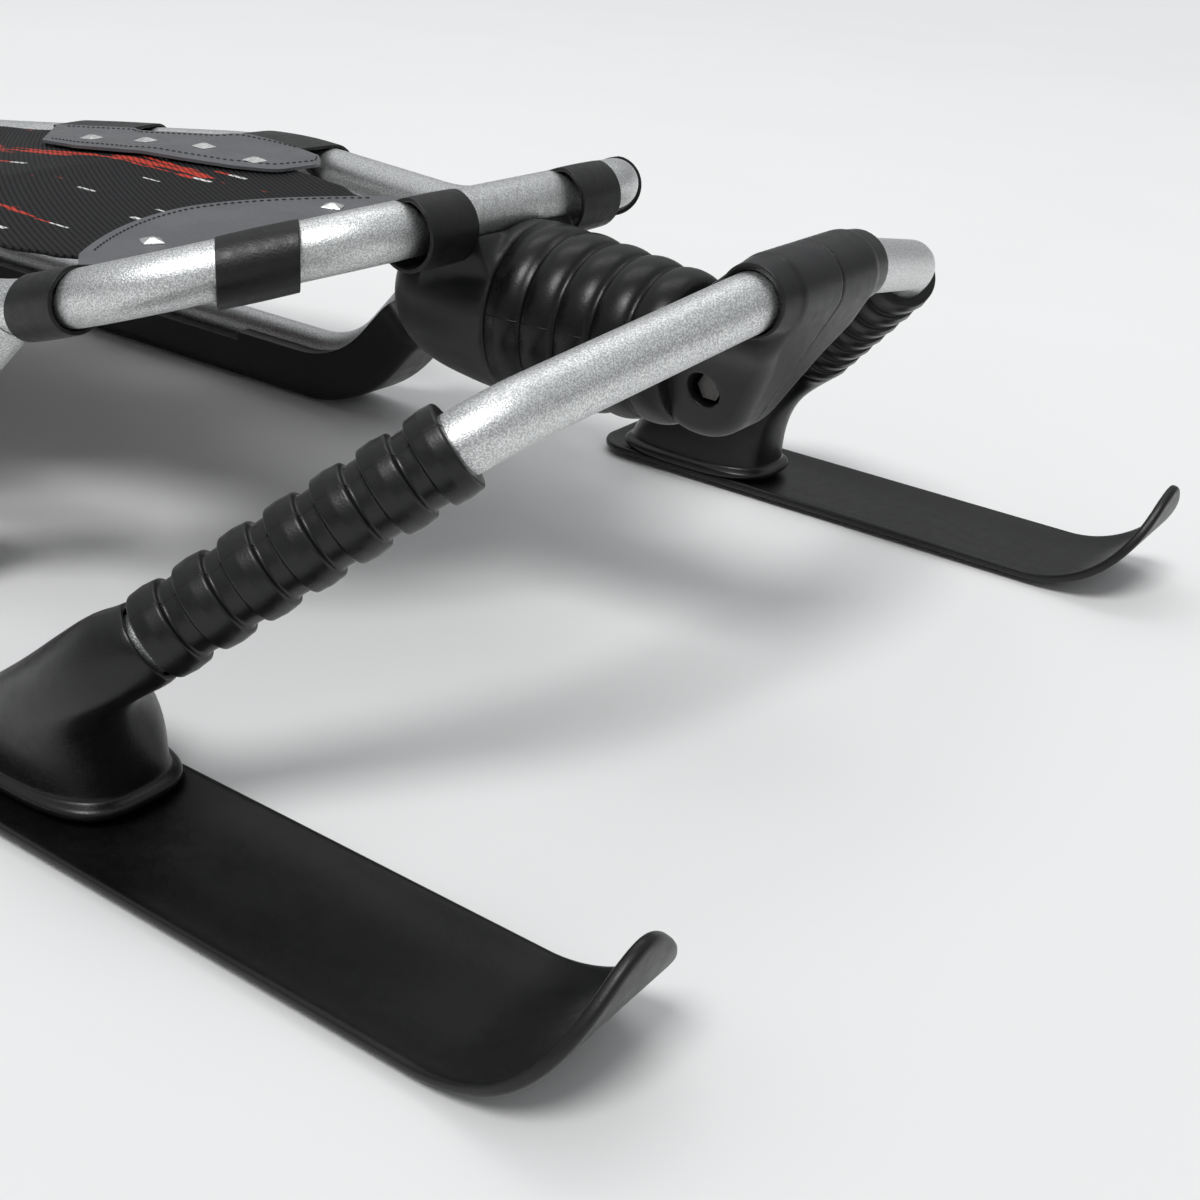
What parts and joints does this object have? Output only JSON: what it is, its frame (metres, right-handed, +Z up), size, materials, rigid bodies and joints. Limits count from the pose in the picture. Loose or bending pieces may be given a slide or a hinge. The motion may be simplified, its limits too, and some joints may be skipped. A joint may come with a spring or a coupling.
{
  "type": "steerable prone snow sled",
  "caption": "Low prone snow sled: bent aluminium tube frame, laced mesh deck, two rear runners, and a steering bar with grips and rubber boots on two front skis.",
  "frame": {"origin": "centre of the footprint, on the snow under the sled", "axes": "+X forward, +Y to the sled's left, +Z up"},
  "size_m": [1.2961, 0.588, 0.217],
  "materials": {
    "tube": "satin silver coat with a fine sparkling grain",
    "moulding": "satin black injection moulding",
    "ski": "fine-grained black polymer, satin",
    "rubber": "moulded black rubber, satin",
    "mesh": "ribbed woven mesh with red dashes and pale flecks",
    "vinyl": "coated sheet vinyl with stitched edges",
    "fastener": "zinc plated"
  },
  "bodies": {
    "frame": {"front_hoop": "tube", "rear_hoop": "tube", "side_rail_left": "tube", "side_rail_right": "tube", "runner_tube_left": "tube", "runner_tube_right": "tube", "runner_shoe_left": "moulding", "runner_shoe_right": "moulding", "rear_cross_tube": "tube", "neck_housing": "moulding", "bellows": "rubber", "mesh_deck": "mesh", "front_panel": "vinyl", "chest_panel_left": "vinyl", "chest_panel_right": "vinyl", "hip_panel_left": "vinyl", "hip_panel_right": "vinyl", "rear_panel": "vinyl"},
    "steering": {"steering_bar": "tube", "clamp_left": "moulding", "clamp_right": "moulding", "clamp_bolt": "fastener", "grip_left": "rubber", "grip_right": "rubber", "boot_left": "rubber", "boot_right": "rubber", "ski_left": "ski", "ski_right": "ski"}
  },
  "joints": [
    {"name": "steering", "type": "hinge", "parent": "frame", "child": "steering", "pos_m": [0.438, 0, 0.158], "axis": [0, 0, 1], "range_deg": [-20, 20], "deforming": ["bellows"]}
  ]
}
